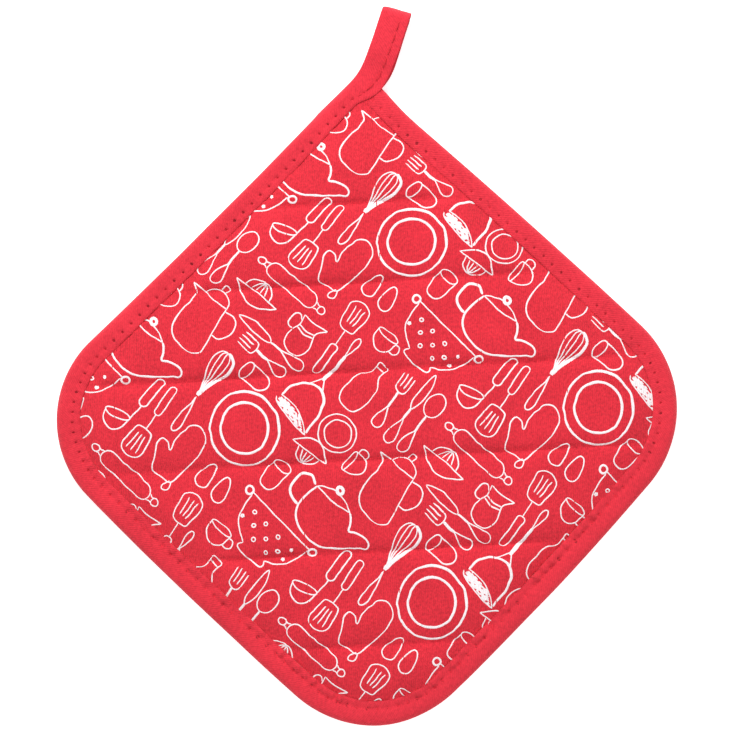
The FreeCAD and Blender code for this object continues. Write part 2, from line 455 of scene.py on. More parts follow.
# Colour, spacing and turn of the ridges, depth of bump, darkest and lightest shade, share of broad patches.
PANEL = cotton("printed_cotton", (0.785, 0.025, 0.046), 0.75, 0, 0.14, 0.70, 1.20, 0.30)
BINDING = cotton("binding_cotton", (0.755, 0.029, 0.051), 0.7, 48, 0.085, 0.78, 1.16, 0.40)
LOOP = cotton("loop_cotton", (0.755, 0.029, 0.051), 0.7, 48, 0.085, 0.78, 1.16, 0.40)
BACK = cotton("back_cotton", (0.78, 0.025, 0.044), 0.75, 0, 0.15, 0.66, 1.22, 0.30)
THREAD = cotton("sewing_thread", (0.74, 0.024, 0.042), 0.4, 30, 0.04)
INK = cotton("white_ink", (0.97, 0.90, 0.92), 0.8, 0, 0.07, 0.86, 1.03, 0.15)


def wadding_material():
    mat, tree, shader = material("fibre_wadding")
    fibre = noise_node(tree, cloth_places(tree), 700, 6, 0.7)
    bump_from(tree, shader, fibre, 0.4)
    colour = ramp_node(tree, fibre, ((0.3, (0.62, 0.60, 0.54)), (0.7, (0.86, 0.85, 0.80))))
    tree.links.new(colour, shader.inputs["Base Color"])
    shader.inputs["Roughness"].default_value = 1.0
    return mat


WADDING = wadding_material()


def paint_hole_shade(mat, across, middle, pitch, radius, dark):
    """Paints shade into the tape's colour as two rows of dark dots at the needle holes, pitch apart, each as
    far across from its own edge.
    """
    tree = mat.node_tree
    shader = tree.nodes["Principled BSDF"]
    coordinates = cloth_places(tree)
    split = tree.nodes.new("ShaderNodeSeparateXYZ")
    tree.links.new(coordinates, split.inputs["Vector"])
    step = times(tree, split.outputs["X"], 1 / (pitch * MM))
    nearest = math_node(tree, "ROUND", step)
    along = times(tree, minus(tree, step, nearest), pitch)
    from_edge = math_node(tree, "ABSOLUTE", minus(tree, split.outputs["Y"], middle * MM))
    side = times(tree, minus(tree, from_edge, (middle - across) * MM), 1 / MM)
    square = plus(tree, times(tree, along, along), times(tree, side, side))
    uneven = times(tree, minus(tree, noise_node(tree, coordinates, 330, 1), 0.5), 1.1)
    far = plus(tree, math_node(tree, "SQRT", square), uneven)
    fade = tree.nodes.new("ShaderNodeMapRange")
    fade.inputs["From Min"].default_value = radius * 0.5
    fade.inputs["From Max"].default_value = radius * 1.3
    fade.inputs["To Min"].default_value = dark
    fade.inputs["To Max"].default_value = 1.0
    tree.links.new(far, fade.inputs["Value"])
    grey = tree.nodes.new("ShaderNodeCombineXYZ")
    for axis in "XYZ":
        tree.links.new(fade.outputs["Result"], grey.inputs[axis])
    shaded = tree.nodes.new("ShaderNodeVectorMath")
    shaded.operation = "MULTIPLY"
    tree.links.new(shader.inputs["Base Color"].links[0].from_socket, shaded.inputs[0])
    tree.links.new(grey.outputs["Vector"], shaded.inputs[1])
    tree.links.new(shaded.outputs["Vector"], shader.inputs["Base Color"])


# ---------------------------------------------------------------- pad

def across_fold(obj):
    """Bakes the piece's transform into its mesh."""
    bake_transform(obj)
    return obj


steps = 260
face = quilted_face(11, FACE_RIM_Z, puff=2.9, row_depth=0.50, column_depth=0.25, steps=steps)
back = quilted_face(47, 0.0, puff=1.9, row_depth=0.25, column_depth=0.3, steps=steps)
back[..., 2] = BACK_RIM_Z - np.minimum(back[..., 2], BACK_RIM_Z - 0.03)
front_surface = Surface(face, 1)
back_surface = Surface(back, -1)

front_panel = across_fold(panel_mesh("front_panel", face, PANEL, flip=False))
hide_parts("front_panel_upper", "front_panel_lower")

back_panel = across_fold(panel_mesh("back_panel", back, BACK, flip=True))
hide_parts("back_panel_upper", "back_panel_lower")


def wadding_mesh():
    """The filling, just inside both faces and closed round its edge."""
    used, quads, flat = kept_quads(INSET > WADDING_FROM)
    top = (face - front_surface.normals * WADDING_GAP).reshape(-1, 3)[used]
    low = (back - back_surface.normals * WADDING_GAP).reshape(-1, 3)[used]
    top[:, 2] = np.maximum(top[:, 2], MID_Z + 0.2)
    low[:, 2] = np.minimum(low[:, 2], MID_Z - 0.2)
    edges = np.concatenate([quads[:, [k, (k + 1) % 4]] for k in range(4)])
    known = set(map(tuple, edges.tolist()))
    rim = [(a, b) for a, b in known if (b, a) not in known]
    count = len(used)
    walls = [(a, a + count, b + count, b) for a, b in rim]
    faces = quads.tolist() + (quads[:, ::-1] + count).tolist() + walls
    return make_mesh("wadding", np.vstack([top, low]), faces, np.vstack([flat, flat]), WADDING)


wadding = across_fold(wadding_mesh())
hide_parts("wadding_upper", "wadding_lower")


# ---------------------------------------------------------------- binding tape and loop

# One side of the folded tape's section on the pad, from its turned-in hem over its face to the pad's edge:
# inset from the edge, and height above the pad's middle. The other side mirrors it.
HALF_SECTION = ((2.0, 1.46), (5.0, 1.50), (7.1, 1.54), (7.65, 1.60), (7.9, 1.76), (7.78, 1.93), (7.2, 2.07),
                (6.5, 2.17), (5.9, 2.17), (5.4, 2.12), (4.9, 2.18), (4.4, 2.25), (3.8, 2.32), (3.2, 2.37),
                (2.6, 2.37), (2.0, 2.30), (1.4, 2.12), (0.9, 1.80), (0.4, 1.22), (0.1, 0.62))
SECTION = np.array(HALF_SECTION + ((0.0, 0.0),) + tuple((a, -b) for a, b in HALF_SECTION[::-1]))
STITCH_POINT = 9
BACK_STITCH_POINT = len(SECTION) - 1 - STITCH_POINT
SECTION_LENGTH = np.r_[0, np.cumsum(np.linalg.norm(np.diff(SECTION, axis=0), axis=1))]
FACE_SIDE = np.sign(SECTION[:, 1])
TAPE_STEPS = 8
TAPE_STEP = STITCH_PITCH / TAPE_STEPS
EDGE_STEP = 0.4
UP_LOOP_POINTS = 170
LOOP_FOLD_AT = 25.1
LOOP_FOLD_LONG = 2.6
LOOP_WIDE = 1.46
CLOSING_FROM = -9.0
LOWEST = 0.02

# Painted shade: the binding's colour is darkened in dots at the needle holes, where the thread pulls the
# cloth down.
paint_hole_shade(BINDING, SECTION_LENGTH[STITCH_POINT], SECTION_LENGTH[-1] / 2, STITCH_PITCH,
             radius=0.42, dark=0.36)


def tape_edge():
    """The tape's outer edge seen from above: round the pad from the loop corner, and on up the loop."""
    corner, right, left = (np.array(CORNERS[k]) for k in (0, 1, 3))
    ring, _ = pad_outline(EDGE_STEP)
    leave = corner - 24 * unit(corner - left)
    far = np.linalg.norm(ring - leave, axis=1)
    far[:len(ring) // 2] = np.inf
    ring = ring[:far.argmin()]
    side = unit(right - corner)
    out = np.array([-side[1], side[0]])
    ring = ring[np.flatnonzero((ring - corner) @ side > 30)[0]:]
    head = [corner + side * t + out * o for t, o in ((7.0, 1.6), (12.0, 1.5), (18.0, 0.9), (24.0, 0.45))]
    up_loop = [(-13.8, 119.6), (-7.0, 125.6), (-1.5, 130.4), (2.3, 133.7),
               (4.9, 136.9), (7.2, 141.0), (10.5, 148.4), (13.4, 155.8)]
    edge = spaced(np.vstack([head, ring, up_loop]), EDGE_STEP)
    for _ in range(30):
        edge[1:-1] += 0.4 * ((edge[:-2] + edge[2:]) / 2 - edge[1:-1])
    return edge


def loop_height(travel, leg):
    """Height of the tape's middle: the legs start together at the hinge and stand apart further up."""
    spread = smooth((travel + 2) / 14)
    middle = MID_Z + 1.0 * smooth((travel + 2) / 20) + 0.45 * np.exp(-((travel + 1) / 5) ** 2)
    return middle + leg * (0.66 * smooth((travel + 7) / 6) + 2.4 * spread)


def tape_course():
    """The tape's outer edge in space: round the pad, up the loop, over its fold and back down."""
    edge = tape_edge()
    along_loop = ((edge - LOOP_HINGE) @ LOOP_DIRECTION)[-UP_LOOP_POINTS:]
    round_pad, up_loop = edge[:-UP_LOOP_POINTS], edge[-UP_LOOP_POINTS:]
    front = np.arange(along_loop[0], LOOP_FOLD_AT, 0.25)
    back_down = np.arange(LOOP_FOLD_AT, -5.0, -0.25)
    turn = np.linspace(math.pi / 2, -math.pi / 2, 40)
    travel = np.concatenate([front, LOOP_FOLD_AT + LOOP_FOLD_LONG * np.cos(turn), back_down])
    leg = np.concatenate([np.full(len(front), 1), np.sin(turn), np.full(len(back_down), -1)])
    within = np.minimum(travel, along_loop[-1])
    plan = np.stack([np.interp(within, along_loop, up_loop[:, k]) for k in (0, 1)], 1)
    plan = plan + np.maximum(travel - along_loop[-1], 0)[:, None] * unit(up_loop[-1] - up_loop[-12])
    aside = (leg < 0) * np.clip(-leg, 0, 1) * (0.1 + 0.6 * smooth((18 - travel) / 18))
    plan = plan + aside[:, None] * np.array([LOOP_DIRECTION[1], -LOOP_DIRECTION[0]])
    on_pad = np.column_stack([round_pad, np.full(len(round_pad), MID_Z)])
    return spaced(np.vstack([on_pad, np.column_stack([plan, loop_height(travel, leg)])]), TAPE_STEP)


def tape_ways(course, tangent, fold):
    """The unit vectors across the tape, and out of its face, at each point of its course."""
    plan = np.gradient(course[:, :2], axis=0)
    plan[fold - 6:] = LOOP_DIRECTION
    plan = units(plan)
    for _ in range(14):
        plan[1:-1] = (plan[:-2] + plan[1:-1] * 2 + plan[2:]) / 4
    plan = units(plan)
    across = np.column_stack([plan[:, 1], -plan[:, 0], np.zeros(len(course))])
    return across, units(np.cross(across, tangent))


def gathers_aside(travelled, loose, quiet):
    """How far each section point moves across the tape, at its hem and at the pad's edge."""
    hem = 0.10 * noise(travelled, 9, 6, 73) + 0.12 * noise(travelled, 2, 21, 74)
    edge = 0.16 * noise(travelled, 4, 24, 75)
    return hem[:, None] * loose[None] * quiet[:, None] + edge[:, None] * (1 - loose[None])


def gathers_out(travelled, tangent, loose, quiet, drawn_in):
    """How far each section point moves out of the tape: ripples, a drawn-in hem, a groove and holes."""
    curving = 1.0 + 1.2 * np.minimum(1, 40 * np.linalg.norm(np.gradient(tangent, axis=0), axis=1))
    wave = np.sin(2 * math.pi * travelled / STITCH_PITCH)
    ripple = 0.10 * wave + 0.10 * noise(travelled, 0, 5.5, 71) * curving + 0.09 * noise(travelled, 5, 13, 72)
    out = ripple[:, None] * loose[None] * FACE_SIDE[None] * quiet[:, None]
    hem = (SECTION[:, 0] > 5.6) * (np.abs(SECTION[:, 1]) > 1.8) * FACE_SIDE
    out += (drawn_in * 0.50 * noise(travelled, 11, 2.2, 76))[:, None] * hem[None]
    groove = np.exp(-((SECTION[:, 0] - 5.5) / 0.8) ** 2) * np.where(SECTION[:, 1] > 1.8, 0.5, 0.0)
    out -= drawn_in[:, None] * groove[None]
    to_hole = np.abs((np.arange(len(travelled)) + TAPE_STEPS / 2) % TAPE_STEPS - TAPE_STEPS / 2) * TAPE_STEP
    pit = np.exp(-(to_hole / 0.40) ** 2)
    across_pit = np.exp(-((SECTION[:, 0] - STITCH_INSET) / 0.34) ** 2)
    out -= 1.3 * pit[:, None] * (across_pit * FACE_SIDE)[None] * quiet[:, None]
    return out


def build_tape():
    """The tape's section and outward way along its course, and where the loop and its fold start."""
    course = tape_course()
    count = len(course)
    tangent = units(np.gradient(course, axis=0))
    travelled = TAPE_STEP * np.arange(count)
    along_loop = (course[:, :2] - LOOP_HINGE) @ LOOP_DIRECTION
    fold = along_loop.argmax()
    across, out = tape_ways(course, tangent, fold)
    near_loop = np.where(np.arange(count) > count // 2, along_loop, -np.inf)
    near_loop[fold:] = np.inf
    closing = smooth((near_loop - CLOSING_FROM) / 9.5)
    starting = 1 - smooth((travelled - 2) / 13)
    wide = widening(course[:, 1]) * (1 - closing) + LOOP_WIDE * closing
    thick = 1 - closing * 0.735 - starting * 0.38
    quiet = 1 - 0.85 * closing
    loose = np.interp(SECTION[:, 0], (0, 3.2, 5.4, 7.9), (0.1, 0.35, 1.0, 1.0))
    drawn_in = smooth((10 - course[:, 1]) / 70) * quiet
    a = SECTION[None, :, 0] * wide[:, None] + gathers_aside(travelled, loose, quiet)
    b = SECTION[None, :, 1] * thick[:, None] + gathers_out(travelled, tangent, loose, quiet, drawn_in)
    rings = course[:, None] + across[:, None] * a[..., None] + out[:, None] * b[..., None]
    rings[..., 2] = np.maximum(rings[..., 2], LOWEST)
    return rings, out, int(np.flatnonzero(near_loop > CLOSING_FROM)[0]), fold


TAPE_RINGS, TAPE_OUT, LOOP_START, LOOP_FOLD = build_tape()
TAPE_ALONG = TAPE_STEP * np.arange(len(TAPE_RINGS))
TAPE_UV = np.stack(np.broadcast_arrays(TAPE_ALONG[:, None] * MM, SECTION_LENGTH[None] * MM), 2)


def tape_mesh(name, first, last, cloth):
    """The tape between two points of its course."""
    part = TAPE_RINGS[first:last]
    rows, columns = part.shape[:2]
    return make_mesh(name, part.reshape(-1, 3), strip_faces(rows, columns, flip=True),
                     TAPE_UV[first:last].reshape(-1, 2), cloth)


def across_hinge(obj):
    """Bakes the piece's transform into its mesh."""
    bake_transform(obj)
    return obj


binding = across_fold(tape_mesh("binding", 0, LOOP_START + 1, BINDING))
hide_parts("binding_upper", "binding_lower")

loop = across_hinge(tape_mesh("loop_tape", LOOP_START, len(TAPE_RINGS), LOOP))
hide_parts("loop_base", "hanging_loop")


# ---------------------------------------------------------------- stitches

BINDING_THREAD = 0.24
LOOP_THREAD = 0.19
NEEDLE_THREAD = 0.17
BOBBIN_THREAD = 0.15
THREAD_SIDES = 6
THREAD_STATIONS = 7


def stitches_mesh(name, runs, radius, mat):
    """Stitches as short bars that dive into the cloth at both ends; a run is start, end, up and lift."""
    points, faces, uv = [], [], []
    sides, stations = THREAD_SIDES, THREAD_STATIONS
    for start, end, up, lift in runs:
        along = end - start
        length = np.linalg.norm(along)
        along = along / length
        side = unit(np.cross(up, along))
        first = len(points)
        for k in np.linspace(0, 1, stations):
            bow = lift * (1 - (2 * k - 1) ** 4)
            centre = start + along * length * k + up * (bow - radius * 0.6)
            size = radius * (0.55 + 0.45 * (1 - (2 * k - 1) ** 6))
            for m in range(sides):
                turn = 2 * math.pi * m / sides
                points.append(centre + size * (side * math.cos(turn) + up * math.sin(turn) * 0.8))
                uv.append((length * k * MM, m * 0.0002))
        for i in range(stations - 1):
            here, there = first + i * sides, first + (i + 1) * sides
            for m in range(sides):
                n = (m + 1) % sides
                faces.append((here + m, here + n, there + n, there + m))
        faces.append(tuple(first + m for m in reversed(range(sides))))
        faces.append(tuple(first + (stations - 1) * sides + m for m in range(sides)))
    return make_mesh(name, np.array(points), faces, np.array(uv), mat)


def tape_runs(first, last, point):
    """Stitches along one section point of the tape, from hole to hole."""
    runs = []
    holes = [i for i in range(first, last) if i % TAPE_STEPS == 0]
    sign = 1 if point == STITCH_POINT else -1
    for a, b in zip(holes[:-1], holes[1:]):
        start, end = TAPE_RINGS[a, point], TAPE_RINGS[b, point]
        up = TAPE_OUT[(a + b) // 2] * sign
        runs.append((start + (end - start) * 0.05, end - (end - start) * 0.05, up, 0.98))
    return runs


edge_runs = []
for point in (STITCH_POINT, BACK_STITCH_POINT):
    edge_runs += tape_runs(TAPE_STEPS, LOOP_START + 1, point)
binding_stitches = across_fold(stitches_mesh("binding_stitches", edge_runs, BINDING_THREAD, THREAD))
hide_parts("binding_stitch_upper", "binding_stitch_lower")

loop_runs = tape_runs(LOOP_START - 7, LOOP_FOLD - 6, STITCH_POINT)
loop_stitches = across_hinge(stitches_mesh("loop_stitches", loop_runs, LOOP_THREAD, THREAD))
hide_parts("loop_stitch")


def seam_runs(surface, level, along_x, lift):
    """Stitches along one quilting seam of a face."""
    table = GRID_X if along_x else GRID_Y
    stops = np.arange(math.ceil(table[0] / QUILT_PITCH), math.floor(table[-1] / QUILT_PITCH)) * QUILT_PITCH
    x, y = (stops, np.full_like(stops, level)) if along_x else (np.full_like(stops, level), stops)
    inside = inset_of(x, y, FINE_LINE, FINE_NORMAL) / widening(y) > SEAM_FROM
    points, normals = surface.at(x, y)
    runs = []
    for k in range(len(stops) - 1):
        if inside[k] and inside[k + 1]:
            start, end = points[k], points[k + 1]
            gap = (end - start) * 0.10
            runs.append((start + gap, end - gap, normals[k], lift))
    return runs


for number, level in enumerate(ROWS, 1):
    runs = seam_runs(front_surface, level, True, 0.22)
    piece = stitches_mesh("row_stitches_%d" % number, runs, NEEDLE_THREAD, THREAD)
    if number == 4:
        across_fold(piece)
    else:
        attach(piece, "pad_upper" if number < 4 else "pad_lower")
    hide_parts("row_thread_%d" % number)

for number, level in enumerate(COLUMNS, 1):
    runs = seam_runs(front_surface, level, False, 0.22)
    piece = across_fold(stitches_mesh("column_stitches_%d" % number, runs, NEEDLE_THREAD, THREAD))
    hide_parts("column_thread_%d_upper" % number, "column_thread_%d_lower" % number)

bobbin_runs = []
for level in ROWS:
    bobbin_runs += seam_runs(back_surface, level, True, 0.10)
for level in COLUMNS:
    bobbin_runs += seam_runs(back_surface, level, False, 0.05)
bobbin = across_fold(stitches_mesh("bobbin_stitches", bobbin_runs, BOBBIN_THREAD, THREAD))
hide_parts("bobbin_threads_upper", "bobbin_threads_lower")


# ---------------------------------------------------------------- the print

LINE = 0.66
BOLD = 1.15
REPEATS = ((73.7, -66.7), (-65.8, -75.0))
PRINT_TURN = math.radians(-3.4)
PRINT_REACH = 145
INK_LAYERS = 8


def through(*points, closed=False, width=LINE):
    """A smooth stroke through the points."""
    p = np.array(points, float)
    count = len(p)
    parts = []
    for k in range(count if closed else count - 1):
        b, c = p[k], p[(k + 1) % count]
        a = p[k - 1] if closed or k else 2 * b - c
        d = p[(k + 2) % count] if closed or k + 2 < count else 2 * c - b
        t = np.linspace(0, 1, max(3, int(np.linalg.norm(c - b) / 0.5)), endpoint=False)[:, None]
        square, cube = 2 * a - 5 * b + 4 * c - d, 3 * b - a - 3 * c + d
        parts.append(0.5 * (2 * b + (c - a) * t + square * t ** 2 + cube * t ** 3))
    if not closed:
        parts.append(p[-1:])
    return np.vstack(parts), closed, width


def mirrored(*half):
    """The points, then all but the last again in reverse on the other side of the drawing's middle line."""
    return half + tuple((u, -v) for u, v in half[-2::-1])


def straight(start, end, width=LINE):
    return np.linspace(start, end, 12), False, width


def oval(u, v, ru, rv, width=LINE):
    turn = np.linspace(0, 2 * math.pi, 48, endpoint=False)
    return np.stack([u + ru * np.cos(turn), v + rv * np.sin(turn)], 1), True, width


def teardrop(start, end, half, part=(0, 2), width=LINE):
    """Pointed at start and round at end; part (0, 1) is its left side alone."""
    start, end = np.array(start, float), np.array(end, float)
    turn = np.linspace(part[0] * math.pi, part[1] * math.pi, 40, endpoint=part != (0, 2))
    way = end - start
    side = unit(np.array([-way[1], way[0]]))
    along = (1 - np.cos(turn)) / 2
    out = 1.54 * half * np.sin(turn) * np.sin(turn / 2) ** 2
    return start + along[:, None] * way + out[:, None] * side, part == (0, 2), width


def capsule(start, end, half, width=LINE):
    start, end = np.array(start, float), np.array(end, float)
    way = unit(end - start)
    side = np.array([-way[1], way[0]])
    turn = np.linspace(-math.pi / 2, math.pi / 2, 10)
    cap = half * (np.cos(turn)[:, None] * way + np.sin(turn)[:, None] * side)
    ends = np.vstack([end - way * half + cap, start + way * half - cap])
    return spaced(ends, 0.5, closed=True), True, width


def handle_from(neck, length, half):
    """A bold neck and a teardrop handle that ends at the length."""
    return [straight((neck, 0), (length - 9, 0), BOLD), teardrop((length - 10, 0), (length, 0), half)]


def plate(ru, rv, inner, width):
    return [oval(0, 0, ru, rv, width), oval(0.3, 0, ru * inner, rv * inner, width)]


def whisk():
    wires = [teardrop((0, 0), (20.9, 0), 4.4 * k, (0, 1), BOLD + 0.4 if k == -1 else 0.7)
             for k in (-1, -0.5, 0.05, 0.5, 1)]
    return wires + [oval(0.8, 0, 0.9, 0.3, 1.0), teardrop((-1, 0), (-17, 0), 1.6)]


def tumbler():
    side = through(*mirrored((0, 4.0), (4.5, 3.9), (8.6, 3.3), (10.6, 1.9), (11.1, 0)))
    return [oval(0, 0, 2.0, 4.1), side]


def fork(length):
    tines = [straight((0.3 * abs(v), v), (6.2, v)) for v in (-2.5, -0.85, 0.85, 2.5)]
    base = through(*mirrored((6.0, -2.5), (7.6, -2.1), (8.3, 0)))
    return tines + [base] + handle_from(8.3, length, 2.3)


def knife(length):
    blade = through((0, 0), (3.5, 1.7), (9, 2.1), (14, 1.3), (16.2, 0), (13, -1.3), (7, -1.2), (2.5, -0.7),
                    closed=True)
    return [blade, straight((16, 0), (length - 11, 0), BOLD), teardrop((length - 12, 0), (length, 0), 2.2)]


def spoon(length):
    return [oval(0, 0, 5.0, 3.7), straight((5.0, 0), (length - 9.5, 0), BOLD),
            teardrop((length - 11, 0), (length, 0), 2.3)]


def jug():
    body = through((7.0, 4.0), (2.6, 3.4), (-2.5, 5.2), (-6.6, 3.9), (-8.2, 0), (-6.6, -3.9), (-2.5, -5.2),
                   (2.6, -3.8), (4.9, -4.6), (7.2, -7.0))
    mouth = through((7.0, 4.0), (6.6, -0.8), (7.2, -7.0))
    rings = [through((u, 3.5), (u - 0.9, 0), (u, -3.8)) for u in (2.9, 1.5)]
    handle = through((4.6, 3.7), (6.2, 5.6), (5.0, 7.6), (1.6, 8.0), (-0.4, 6.4), (0.0, 4.3))
    return [body, mouth, handle] + rings


def turner(handle):
    blade = through(*mirrored((-6.1, -2.1), (-4.6, -3.6), (2.0, -4.4), (5.0, -3.4), (6.2, 0)), closed=True)
    slots = [straight((-3.6, 1.4 * k), (3.9, 2.2 * k)) for k in (-1, 0, 1)]
    return [blade] + slots + [straight((-6.2, 0), (-13.4, 0)), capsule((-13, 0), (-13 - handle, 0), 1.5)]


def chopper():
    """A half-moon scraper: a flecked white blade, a thick arch over it and a long handle."""
    rng = np.random.default_rng(5)
    blade = [through((-0.6, 9.2), (-1.9, 7.6), (-2.3, 2.0), (-2.2, -4.0), (-1.6, -9.6)),
             through((0.9, 8.6), (2.2, 4.5), (2.4, 0.0), (1.1, -5.2), (-1.6, -9.6))]
    for u in np.arange(-1.6, 1.7, 0.5):
        cuts = np.sort(rng.uniform(-6.5, 7.0, 5 if abs(u) > 1.0 else 1))
        stops = np.array([1.5 * (u + 1.5) - 8.2, *cuts, 8.5 - 0.4 * (u + 0.4) ** 2])
        pairs = zip(stops[:-1], stops[1:])
        blade += [straight((u, a + 0.3), (u, b - 0.3), 0.85) for a, b in pairs if b - a > 1.4]
    arch = through((1.0, 8.5), (7.0, 8.2), (12.2, 4.8), (14.3, 0.6), (12.4, -4.2), (7.0, -7.6), (2.0, -8.3),
                   (-0.8, -9.2), width=BOLD)
    shaft = straight((17.0, 2.0), (31.0, 4.4), 1.6)
    throat = [through((12.4, 4.7), (15.0, 3.5), (18, 2.5)), through((13.2, -2.4), (15.4, -0.2), (18, 2.0))]
    return blade + [arch, shaft, teardrop((29.5, 4.2), (39.4, 5.8), 1.3)] + throat


def juicer(half):
    rim = straight((0, half), (0, -half))
    bowl = through(*mirrored((0, half), (-2.2, half * 0.72), (-4.6, half * 0.40), (-5.6, 0)))
    dome = through(*mirrored((0.2, half * 0.60), (3.0, half * 0.50), (5.2, half * 0.18), (5.4, 0)))
    ribs = [through((5.3, 0), (3.5, half * 0.20 * k), (0.5, half * 0.32 * k)) for k in (-1, -0.35, 0.35, 1)]
    return [rim, bowl, dome] + ribs


def rolling_pin():
    strokes = [capsule((-12.4, 0), (12.4, 0), 3.3)]
    for k in (-1, 1):
        strokes += [through((12.3 * k, 1.5 * s), (13.7 * k, 0.8 * s), (14.5 * k, 1.2 * s)) for s in (1, -1)]
        strokes.append(oval(15.8 * k, 0, 1.6, 1.5))
    return strokes


def mitt():
    outline = through((-10.6, 5.0), (-5.6, 6.9), (-1.2, 8.9), (1.8, 8.7), (2.0, 6.0), (0.2, 3.8), (4.4, 4.0),
                      (8.8, 3.4), (12.9, 1.5), (13.8, -2.8), (10.4, -6.4), (4.8, -7.0), (-3.4, -5.8),
                      (-10.4, -4.2), (-10.9, 0.3), closed=True)
    return [outline, through((-10.3, -3.4), (-12.6, -1.9), (-14.5, -2.6), (-13.6, -4.6), (-10.4, -4.2))]


def ladle():
    bowl = through((-5.2, 0), (-4.6, -3.6), (-1.2, -6.2), (2.8, -5.2), (5.2, 0))
    neck = through((5.2, 0), (6.4, 3.2), (7.2, 6.9))
    return [oval(0, 0, 5.3, 1.6), bowl, neck, capsule((7.0, 6.6), (10.2, 20.0), 1.8)]


def pear():
    return [through((5.3, 0.5), (4.4, 1.5), (0.0, 2.8), (-3.6, 2.6), (-5.0, 0.2), (-3.9, -2.6), (-0.5, -2.8),
                    (4.6, -1.1), closed=True)]


def coffee_pot():
    body = through((9.9, -5.2), (4.0, -5.6), (-5.0, -7.2), (-9.6, -7.6), (-12.0, -4.2), (-12.4, 0.2),
                   (-11.2, 4.8), (-7.6, 7.6), (-2.0, 8.3), (4.0, 8.0), (7.4, 8.6), (10.2, 12.2))
    rim = through((10.2, 12.2), (10.0, 6.3), (9.4, 0.5), (9.9, -5.2))
    lid = through((9.9, -5.2), (12.6, -4.2), (14.4, 0.5), (12.8, 4.4), (10.2, 6.0))
    handle = through((8.8, -5.4), (9.2, -9.4), (6.4, -12.2), (2.0, -12.0), (-1.0, -9.8), (-1.6, -6.6))
    return [body, rim, lid, handle, through((14.2, -0.6), (16.9, -0.9), (17.2, 1.6), (14.3, 1.6))]


def cup():
    bowl = through((-4.8, 0), (-4.3, -3.7), (-1.4, -7.0), (2.0, -6.7), (4.2, -3.9), (4.8, 0))
    ear = through((4.7, -0.9), (6.8, -1.0), (7.4, -3.2), (6.0, -4.8), (3.8, -4.6))
    return [oval(0, 0, 4.8, 1.3), bowl, ear]


def bottle():
    outline = mirrored((0, 0), (1.0, -3.6), (4.2, -5.1), (9.0, -5.3), (13.4, -4.8), (16.4, -2.9),
                       (18.2, -1.9), (20.6, -2.0), (22.6, -2.3), (23.0, 0))[:-1]
    return [through(*outline, closed=True), straight((20.7, -1.9), (20.7, 1.9))]


def hole_ring(u, v, filled):
    return oval(u, v, 0.48, 0.48, 1.05) if filled else oval(u, v, 0.75, 0.75, 0.68)


def colander():
    rim = straight((0, 15.4), (0, -15.4))
    side = ((-0.8, 15.0), (-5.4, 14.6), (-10.4, 12.9), (-13.8, 9.6), (-15.9, 5.6))
    sides = [through(*((u, k * v) for u, v in side)) for k in (1, -1)]
    foot = through(*mirrored((-15.9, 5.6), (-17.4, 6.6), (-18.8, 5.6), (-19.2, 0)))
    ears = [oval(-0.2, 17.0 * k, 1.5, 1.6, BOLD) for k in (-1, 1)]
    holes = []
    for u, places in ((-4.9, (-10.4, -3.0, 3.7, 9.7)), (-8.8, (-6.6, 0.0, 6.8, 12.4)), (-12.4, (-3.5, 3.4)),
                      (-10.2, (-10.8,))):
        holes += [hole_ring(u, v, v < -10 or v > 12) for v in places]
    return [rim] + sides + [foot] + ears + holes


def teapot():
    body = through((7.4, 8.8), (1.0, 10.1), (-5.2, 9.0), (-9.1, 4.2), (-9.9, -1.9), (-8.9, -7.4),
                   (-5.7, -11.7), (-2.3, -15.8), (0.3, -18.4), (1.9, -20.8), (4.2, -20.2), (4.6, -17.0),
                   (3.8, -13.6), (2.6, -11.2), (5.4, -10.2), (8.0, -7.3), width=1.0)
    rim = through((7.4, 8.8), (6.9, 3.0), (7.0, -2.0), (8.0, -7.3))
    lid = through((7.4, 8.8), (10.0, 4.6), (10.7, 0.4), (9.9, -3.6), (8.0, -7.3))
    handle = through((7.4, 9.6), (9.0, 13.0), (6.9, 16.0), (2.6, 16.8), (-1.4, 15.2), (-2.6, 10.2),
                     width=1.25)
    return [body, rim, lid, handle, oval(11.9, 0.7, 1.25, 1.35, 1.4)]


# Where each drawing's own origin lies in one repeat of the print, and the way it heads in degrees.
DRAWINGS = (
    (plate(14.3, 13.6, 0.69, 1.05), (-48.8, -5.5), 90), (plate(7.6, 7.4, 0.72, LINE), (-12.3, -7.2), -20),
    (whisk(), (-67.3, 7.7), 54), (tumbler(), (-48.1, 17.9), -43), (tumbler(), (-33.9, -20.4), -133),
    (fork(23.5), (-50.4, 31.6), -43), (knife(32.6), (-50.8, 39.4), -40.5), (jug(), (-26.0, 31.4), 52),
    (turner(14.4), (-5.3, 38.7), 54), (chopper(), (-29.9, 0.6), 39.5),
    (juicer(10.5), (-43.9, 48.2), 48.5), (juicer(8.5), (-23.2, -14.6), -128.8),
    (rolling_pin(), (-95.9, -23.4), -42.4), (mitt(), (-75.4, -15.5), 55),
    (turner(13.0), (-91.5, -10.5), -126),
    (ladle(), (-98.9, 0.4), -25), (pear(), (-64.0, -23.7), 48), (pear(), (-57.9, -29.4), 53),
    (coffee_pot(), (-66.1, 37.2), 50),
    (cup(), (-7.3, -18.0), 53.7), (cup(), (7.9, 31.6), -41), (bottle(), (-9.6, 3.1), 46),
    (fork(24.4), (17.0, 15.4), -127.3), (knife(32.1), (26.6, 15.2), -128), (spoon(22.2), (26.2, 3.4), -129.7),
    (teapot(), (-18.2, -39.2), 50), (colander(), (31.4, 34.0), 46),
)


def turned(points, angle):
    c, s = math.cos(angle), math.sin(angle)
    return points @ np.array([[c, s], [-s, c]])


def settled(points):
    """The print as the quilting has drawn it in: lower near the loop corner and near the lower corner."""
    y = points[:, 1]
    drop = 0.10 * np.maximum(y - 55, 0) + 0.05 * np.clip(-20 - y, 0, 46) - 0.03 * np.maximum(-66 - y, 0)
    return points - np.stack([0 * y, drop], 1)


